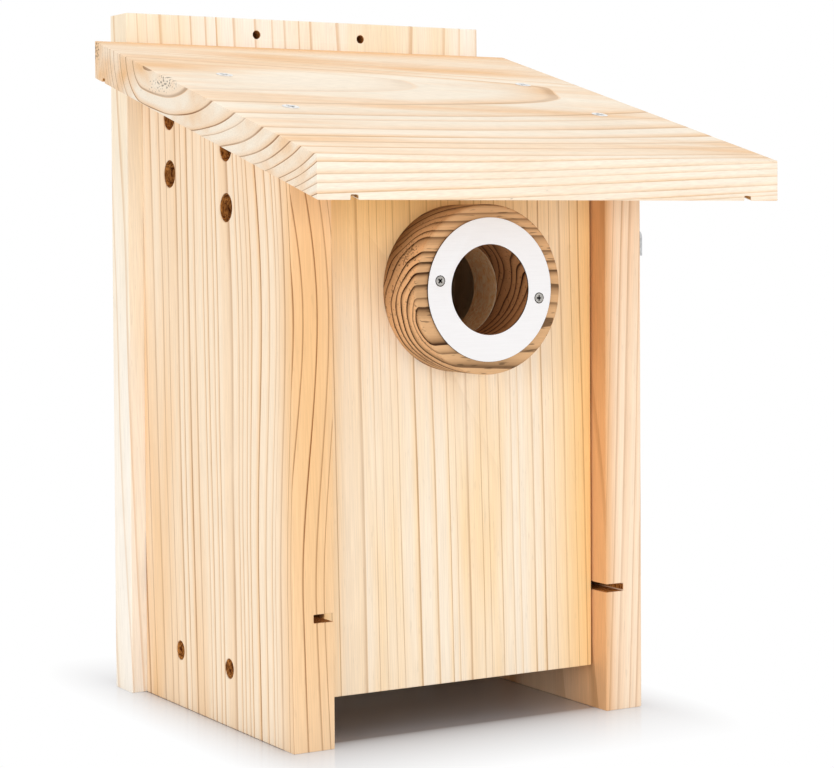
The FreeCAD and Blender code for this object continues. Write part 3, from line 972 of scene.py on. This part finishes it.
def drive_screws(node, name, metal, slot, shank, seed, recess=SCREW_RECESS, head_fit=1.0):
    """Put real screws for a CAD node's plain ones; head_fit is the head's share of its countersink."""
    places = screw_places(node)
    points = bpy.data.meshes.new(f"{name}_places")
    points.from_pydata([head for head, *_ in places], [], [])
    axes = points.attributes.new("axis", "FLOAT_VECTOR", "POINT")
    for number, (_, axis, *_) in enumerate(places):
        axes.data[number].vector = axis
    _, _, length, head_width = places[0]
    values = {
        "Head": head_fit * head_width,
        "Shank": shank,
        "Length": length,
        "Thread": SCREW_THREAD * shank / SCREW_SHANK,
        "Recess": recess,
        "Seed": seed,
        "Metal": metal,
    }
    shape = grown_mesh(points, COUNTERSUNK_SCREWS, values, name)
    return finish_mesh(shape, name, [metal], frame["nodes"][node]["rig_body"], slot, node)


screw_metal = bloomed_metal("zinc_plated_steel", "#fbfbfa", roughness=0.34)
drive_screws("back_screws", "back_wood_screws", screw_metal, "zinc_steel", SCREW_SHANK, seed=3)

# Bottom board: a thin cedar board screwed up between the sides, its corners clipped off to drain.
# Its screws sit deep in counterbores that are left open.
CROSSWISE = (0, -math.pi / 2, math.pi / 2)
eased_copy(
    "bottom_board",
    "cedar_bottom_board",
    planed_wood(
        "flat_sawn_cedar_bottom",
        CROSSWISE,
        pith=(20, -70),
        ring=5.5,
        early="#f3d6ae",
        warm="#e6b983",
        late="#a97a48",
    ),
    cut_cedar,
)
drive_screws("bottom_screws", "bottom_wood_screws", screw_metal, "zinc_steel", SCREW_SHANK, seed=11)

# Mesh floor: half-inch welded wire cloth, hot-dip galvanised, slid into the sides' saw grooves.
# One layer of wires runs across, the other lies on it from front to back, welded where they cross.
MESH_PITCH = 12.7 * MM
MESH_WIRE = 1.0 * MM


def wire_cloth_tree():
    """Two crossed layers of straight wires on a rectangle, its near left corner at Corner."""
    tree = new_node_group(
        "welded_wire_cloth",
        {
            "Across": "NodeSocketFloat",
            "Deep": "NodeSocketFloat",
            "Pitch": "NodeSocketFloat",
            "Wire": "NodeSocketFloat",
            "Sink": "NodeSocketFloat",
            "Corner": "NodeSocketVector",
            "Metal": "NodeSocketMaterial",
        },
    )
    given = add(tree, "NodeGroupInput").outputs
    wire_radius = add(
        tree, "ShaderNodeMath", {"operation": "MULTIPLY"}, {0: given["Wire"], 1: 0.5}
    ).outputs[0]
    section = add(
        tree, "GeometryNodeCurvePrimitiveCircle", feeds={"Resolution": 8, "Radius": wire_radius}
    )
    upper = add(
        tree, "ShaderNodeMath", {"operation": "SUBTRACT"}, {0: given["Wire"], 1: given["Sink"]}
    ).outputs[0]
    upper_height = add(
        tree, "ShaderNodeMath", {"operation": "ADD"}, {0: upper, 1: wire_radius}
    ).outputs[0]
    cloth = add(tree, "GeometryNodeJoinGeometry")
    layers = (("X", "Across", "Y", "Deep", wire_radius), ("Y", "Deep", "X", "Across", upper_height))
    for along, run, sideways, spread, height in layers:
        full = add(
            tree, "ShaderNodeMath", {"operation": "DIVIDE"}, {0: given[spread], 1: given["Pitch"]}
        ).outputs[0]
        whole = add(tree, "ShaderNodeMath", {"operation": "FLOOR"}, {0: full}).outputs[0]
        count = add(tree, "ShaderNodeMath", {"operation": "ADD"}, {0: whole, 1: 1.0}).outputs[0]
        used = add(
            tree, "ShaderNodeMath", {"operation": "MULTIPLY"}, {0: whole, 1: given["Pitch"]}
        ).outputs[0]
        spare = add(
            tree, "ShaderNodeMath", {"operation": "SUBTRACT"}, {0: given[spread], 1: used}
        ).outputs[0]
        margin = add(tree, "ShaderNodeMath", {"operation": "MULTIPLY"}, {0: spare, 1: 0.5}).outputs[0]
        first = add(tree, "ShaderNodeCombineXYZ", feeds={sideways: margin, "Z": height})
        step = add(tree, "ShaderNodeCombineXYZ", feeds={sideways: given["Pitch"]})
        row = add(
            tree,
            "GeometryNodeMeshLine",
            feeds={"Count": count, "Start Location": first.outputs[0], "Offset": step.outputs[0]},
        )
        end = add(tree, "ShaderNodeCombineXYZ", feeds={along: given[run]})
        straight = add(tree, "GeometryNodeCurvePrimitiveLine", feeds={"End": end.outputs[0]})
        wire = add(
            tree,
            "GeometryNodeCurveToMesh",
            feeds={"Curve": straight.outputs[0], "Profile Curve": section.outputs[0], "Fill Caps": True},
        )
        laid = add(
            tree,
            "GeometryNodeInstanceOnPoints",
            feeds={"Points": row.outputs[0], "Instance": wire.outputs[0]},
        )
        tree.links.new(laid.outputs[0], cloth.inputs[0])
    placed = add(
        tree,
        "GeometryNodeTransform",
        feeds={"Geometry": cloth.outputs[0], "Translation": given["Corner"]},
    )
    real = add(tree, "GeometryNodeRealizeInstances", feeds={"Geometry": placed.outputs[0]})
    dipped = add(
        tree, "GeometryNodeSetMaterial", feeds={"Geometry": real.outputs[0], "Material": given["Metal"]}
    )
    add(tree, "NodeGroupOutput", feeds={0: dipped.outputs[0]})
    return tree


mesh_low, mesh_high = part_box("mesh_floor")
mesh_metal = bloomed_metal("hot_dip_galvanised_wire", "#aeb4b6", roughness=0.42)
mesh_values = {
    "Across": mesh_high.x - mesh_low.x,
    "Deep": mesh_high.y - mesh_low.y,
    "Pitch": MESH_PITCH,
    "Wire": MESH_WIRE,
    "Sink": 2 * MESH_WIRE - (mesh_high.z - mesh_low.z),
    "Corner": mesh_low,
    "Metal": mesh_metal,
}
mesh_shape = grown_mesh(bpy.data.meshes.new("mesh_start"), wire_cloth_tree(), mesh_values, "wire_cloth")
finish_mesh(mesh_shape, "welded_wire_floor", [mesh_metal], "house", "galvanised_wire", "mesh_floor")

# Pivot pins: two plated steel pins, hidden between the sides and the front panel's edges.
# Drawn wire, cut to length and left as plated.
pins = frame["nodes"]["pivot_pins"]
pins.data.materials.clear()
pins.data.materials.append(bloomed_metal("plated_pivot_steel", "#b9bcbe", roughness=0.35))

# Front panel: a quarter-sawn cedar board that drops forward for cleaning, planed and left bare.
# Its growth lines run straight up the face. Its warmth at both edges is partly the wood and partly painted
# shade, and under the roof it is painted shade. The entrance is bored clean, and its wall is paler than the
# other cuts, partly fresh wood and partly painted light in the bore.
eased_copy(
    "front_panel",
    "cedar_front_panel",
    planed_wood(
        "quarter_sawn_cedar_front",
        UPRIGHT,
        pith=(-250, 30),
        ring=5.6,
        trunk_lean=(0.0, 0.02),
        early="#f8e8d2",
        warm="#fbce88",
        late="#94591c",
        warm_share=0.05,
        sway=4,
        late_share=0.13,
        line_depth=0.68,
        # The spots: warmth at both edges, partly painted shade, and painted shade under the roof.
        warm_and_shade_spots=(
            ((72, -40, 120), (42, 60, 500)),
            ((-74, -40, 120), (24, 60, 500)),
            ((-30, -40, 240), (170, 60, 95)),
        ),
    ),
    # Its pale colours are partly painted light on the entrance's bore wall.
    rough_cut("bored_front_cedar", "#fde0b6", "#efb877", grain=(1.0, 1.0, 0.3)),
)

# Entrance guard: a block turned from dark heartwood, so bold swirls cross its rim and bore.
# The satin stainless ring on its face stops the entrance from being gnawed wider.
# Two small stainless screws go through ring and block into the panel.
GUARD_ARRIS = 0.3 * MM
RING_ARRIS = 0.12 * MM
RING_BACK_ARRIS = 0.7 * MM
RING_FACE = 0.85
GUARD_SHANK = 2.4 * MM
GUARD_RECESS = 1.1 * MM


def turned_heartwood(name, early, heart_and_shade, late, end_tone_and_light):
    """Heartwood, turned and left bare: tan, with bold dark latewood that swirls; darker at its upper left as
    painted shade.
    """
    return planed_wood(
        name,
        CROSSWISE,
        pith=(78, -172),
        ring=4.2,
        sway=9,
        sway_size=34,
        early=early,
        warm=heart_and_shade,
        late=late,
        late_share=0.28,
        summer_warmth=0.5,
        line_depth=1.4,
        end_tone_and_light=end_tone_and_light,
        pores=0.5,
        face_lines=0.7,
        warm_share=-0.2,
        # This spot is painted shade: the heart colour darkens the upper left, below the roof.
        warm_and_shade_spots=(((-36, -39, 212), (60, 26, 46)),),
        torn_spots=(((-36, -56, 204), (20, 14, 13), 0.36),),
    )


eased_copy(
    "guard_block",
    "heartwood_guard_block",
    # Its outer wood's end tone of 1.2 is painted light on the flanks, and its heart colour paints shade at
    # the upper left.
    turned_heartwood("turned_heartwood", "#d6aa7d", "#65411f", "#2e1204", 1.2),
    turned_heartwood("bored_heartwood", "#b98356", "#7d4f2c", "#2c1003", 1.0),
    "guard_wood",
    arris=GUARD_ARRIS,
)


SCRATCH_LENGTH = 9 * MM
SCRATCH_WIDTH = 0.25 * MM


def satin_stainless():
    """Stainless sheet, cut and satin-brushed: white where it mirrors the studio, with fine scratches.

    Real scratches are hundredths of a millimetre wide, too fine to show, so they are drawn coarser.
    """
    material, tree = new_material("satin_stainless")
    place = add(tree, "ShaderNodeTexCoord")
    brushed = add(
        tree,
        "ShaderNodeMapping",
        feeds={
            "Vector": place.outputs["Object"],
            "Scale": (1 / SCRATCH_LENGTH, 1 / SCRATCH_LENGTH, 1 / SCRATCH_WIDTH),
        },
    )
    scratches = add(
        tree, "ShaderNodeTexNoise", feeds={"Vector": brushed.outputs[0], "Scale": 1.0, "Detail": 2.0}
    )
    tone = add(
        tree,
        "ShaderNodeMapRange",
        feeds={
            "Value": scratches.outputs[0], "From Min": 0.3, "From Max": 0.7, "To Min": 0.97, "To Max": 1.0
        },
    )
    metal = add(
        tree,
        "ShaderNodeVectorMath",
        {"operation": "SCALE"},
        {0: linear("#faf8f8")[:3], "Scale": tone.outputs[0]},
    )
    matt = add(
        tree, "ShaderNodeMapRange", feeds={"Value": scratches.outputs[0], "To Min": 0.5, "To Max": 0.34}
    )
    surface = add(
        tree,
        "ShaderNodeBsdfPrincipled",
        feeds={"Base Color": metal.outputs[0], "Metallic": 1.0, "Roughness": matt.outputs[0]},
    )
    add(tree, "ShaderNodeOutputMaterial", feeds={"Surface": surface.outputs[0]})
    return material


ring_metal = satin_stainless()
# The ring's edge walls and countersinks are painted dark, as painted shade for the thin gap round the ring
# and its screws.
shaded_edge_metal = bloomed_metal("stainless_edge_painted_shade", "#5c524b", roughness=0.45)
guard_ring = eased_copy(
    "guard_plate",
    "stainless_guard_ring",
    ring_metal,
    shaded_edge_metal,
    "stainless",
    arris=RING_ARRIS,
    back_arris=RING_BACK_ARRIS,
)
# Faces turned nearly to the front show the brushed sheet; the rest take the painted shade.
for polygon in guard_ring.data.polygons:
    polygon.material_index = int(abs(polygon.normal.y) < RING_FACE)
drive_screws(
    "guard_screws",
    "guard_plate_screws",
    bloomed_metal("stainless_screw", "#bdb9b3", roughness=0.3),
    "stainless",
    GUARD_SHANK,
    seed=5,
    recess=GUARD_RECESS,
    head_fit=0.86,
)

# Catch pin: stiff plated wire with its end bent down as a finger grip, drawn out of the right side.
# Pushed in, it enters the front panel's edge and locks it.
catch = frame["nodes"]["catch_pin"]
catch.data.materials.clear()
catch.data.materials.append(bloomed_metal("plated_catch_wire", "#c9cbcc", roughness=0.3))

# Roof: a wide flat-sawn cedar board, screwed down on the sides with its heart side up.
# The log's middle lay just above it near the back, so arches show there and straight lines in front.
ROOF_SLOPE = math.radians(15)
eased_copy(
    "roof",
    "cedar_roof",
    planed_wood(
        "flat_sawn_cedar_roof",
        (-ROOF_SLOPE, -math.pi / 2, math.pi / 2),
        pith=(-105, -273.3),
        soft_heart=15,
        ring=17.2,
        closing=2.0,
        trunk_lean=(-0.08, -0.1),
        squash=(0.685, -0.365),
        slant=0.35,
        early="#f9ecd9",
        warm="#eebc84",
        late="#7c4a1a",
        warm_share=0.22,
        sway=2.5,
        late_share=0.13,
        end_tone_and_light=0.96,
        pores=0.05,
        torn_spots=(((-110, 22, 277), (6, 34, 9), 0.31), ((-110, 98, 296), (6, 9, 14), 0.36)),
        face_lines=0.4,
        warm_and_shade_spots=(((0, 104, 300), (600, 26, 40)),),
    ),
    rough_cut("bored_roof_cedar", "#c99a5e", "#7a4c22", grain=(0.3, 1.0, 1.0)),
)
drive_screws("roof_screws", "roof_wood_screws", screw_metal, "zinc_steel", SCREW_SHANK, seed=8)

# Table: a grey gloss board, which keeps the box's shadow and a faint mirror image of it.
# Its grey is painted shade, which darkens the floor under and beside the box.
# It fades into the studio's white close beside the box and further out in front of it.
TABLE_SIZE = 6.0
TABLE_DROP = 0.05 * MM
FOOT_MIDDLE = (0, 39.25 * MM, 0)
FOOT_HALF = (87 * MM, 79.25 * MM, 1)
WHITE_WITHIN = (30 * MM, 75 * MM, 1)
FADE_CURVE = 0.5
shape = bmesh.new()
bmesh.ops.create_grid(shape, x_segments=1, y_segments=1, size=TABLE_SIZE / 2)
table_mesh = bpy.data.meshes.new("studio_table")
bmesh.ops.translate(shape, verts=shape.verts, vec=(0, 0, -TABLE_DROP))
shape.to_mesh(table_mesh)
shape.free()
table = bpy.data.objects.new("studio_table", table_mesh)
bpy.context.scene.collection.objects.link(table)

gloss, tree = new_material("grey_gloss_board_painted_shade")
place = add(tree, "ShaderNodeTexCoord")
centred = add(
    tree, "ShaderNodeVectorMath", {"operation": "SUBTRACT"}, {0: place.outputs["Object"], 1: FOOT_MIDDLE}
)
from_middle = add(tree, "ShaderNodeVectorMath", {"operation": "ABSOLUTE"}, {0: centred.outputs[0]})
past_edge = add(
    tree, "ShaderNodeVectorMath", {"operation": "SUBTRACT"}, {0: from_middle.outputs[0], 1: FOOT_HALF}
)
outside = add(
    tree, "ShaderNodeVectorMath", {"operation": "MAXIMUM"}, {0: past_edge.outputs[0], 1: (0, 0, 0)}
)
reached = add(
    tree, "ShaderNodeVectorMath", {"operation": "DIVIDE"}, {0: outside.outputs[0], 1: WHITE_WITHIN}
)
clear = add(tree, "ShaderNodeVectorMath", {"operation": "LENGTH"}, {0: reached.outputs[0]})
share_out = add(tree, "ShaderNodeMapRange", feeds={"Value": clear.outputs["Value"]})
fade = add(tree, "ShaderNodeMath", {"operation": "POWER"}, {0: share_out.outputs[0], 1: FADE_CURVE})
# The board's grey is painted shade under and beside the box.
board = add(
    tree,
    "ShaderNodeBsdfPrincipled",
    feeds={"Base Color": linear("#c6c3c6"), "Roughness": 0.06, "IOR": 1.7},
)
white = add(tree, "ShaderNodeEmission", feeds={"Color": (1, 1, 1, 1), "Strength": 1.0})
blended = add(
    tree, "ShaderNodeMixShader", feeds={0: fade.outputs[0], 1: board.outputs[0], 2: white.outputs[0]}
)
add(tree, "ShaderNodeOutputMaterial", feeds={"Surface": blended.outputs[0]})
table_mesh.materials.append(gloss)

# Studio: an even pale room, which the camera and every mirror see as white, and three large soft lamps.
# The left one models the side, the front one lifts the panel under the roof, and the top one lights the roof.
ROOM_LIGHT = 0.64
studio = bpy.data.worlds.new("white_studio")
bpy.context.scene.world = studio
studio.use_nodes = True
tree = studio.node_tree
tree.nodes.clear()
rays = add(tree, "ShaderNodeLightPath").outputs
mirrored = add(
    tree,
    "ShaderNodeMath",
    {"operation": "MAXIMUM"},
    {0: rays["Is Glossy Ray"], 1: rays["Is Transmission Ray"]},
)
seen = add(
    tree, "ShaderNodeMath", {"operation": "MAXIMUM"}, {0: rays["Is Camera Ray"], 1: mirrored.outputs[0]}
)
room = add(tree, "ShaderNodeBackground", feeds={"Color": (1, 1, 1, 1), "Strength": ROOM_LIGHT})
paper = add(tree, "ShaderNodeBackground", feeds={"Color": (1, 1, 1, 1), "Strength": 1.0})
mixed = add(
    tree, "ShaderNodeMixShader", feeds={0: seen.outputs[0], 1: room.outputs[0], 2: paper.outputs[0]}
)
add(tree, "ShaderNodeOutputWorld", feeds={"Surface": mixed.outputs[0]})


def soft_lamp(name, place, power, width, height):
    """A large soft lamp, aimed at the middle of the birdhouse."""
    lamp = bpy.data.lights.new(name, "AREA")
    lamp.shape = "RECTANGLE"
    lamp.energy = power
    lamp.size, lamp.size_y = width, height
    holder = bpy.data.objects.new(name, lamp)
    holder.location = place
    holder.visible_glossy = False
    aim = (cad_box[0] + cad_box[1]) / 2 - Vector(place)
    holder.rotation_euler = aim.to_track_quat("-Z", "Y").to_euler()
    bpy.context.scene.collection.objects.link(holder)


soft_lamp("left_soft_box", (-1.9, -0.83, 0.4), power=11.6, width=1.6, height=0.7)
soft_lamp("front_soft_box", (0.0, -2.0, 0.3), power=8.6, width=1.1, height=0.5)
soft_lamp("top_soft_box", (0.1, -0.1, 2.0), power=11.8, width=1.4, height=1.4)

# Camera: a short telephoto a little above the entrance's height, to the left in front of the box.
# Its place, aim and focal length are those that set the box's corners where the photograph has them.
PHOTO_WIDTH = 834
FOCAL_PIXELS = 2262.6
LOOK_RIGHT = math.radians(31.110)
LOOK_UP = math.radians(-1.397)
ROLL = math.radians(-0.302)
lens = bpy.data.cameras.new("photo_camera")
lens.sensor_width = 36.0
lens.lens = FOCAL_PIXELS / PHOTO_WIDTH * lens.sensor_width
lens.shift_x, lens.shift_y = -0.05, -0.12
lens.dof.use_dof = False
camera = bpy.data.objects.new("photo_camera", lens)
camera.location = (-502.5 * MM, -870.9 * MM, 214.0 * MM)
level = math.cos(LOOK_UP)
forward = Vector((math.sin(LOOK_RIGHT) * level, math.cos(LOOK_RIGHT) * level, math.sin(LOOK_UP)))
aimed = forward.to_track_quat("-Z", "Y").to_matrix()
camera.rotation_euler = (aimed @ Euler((0, 0, ROLL)).to_matrix()).to_euler()
bpy.context.scene.collection.objects.link(camera)
bpy.context.scene.camera = camera
bpy.context.scene.view_settings.view_transform = "Standard"
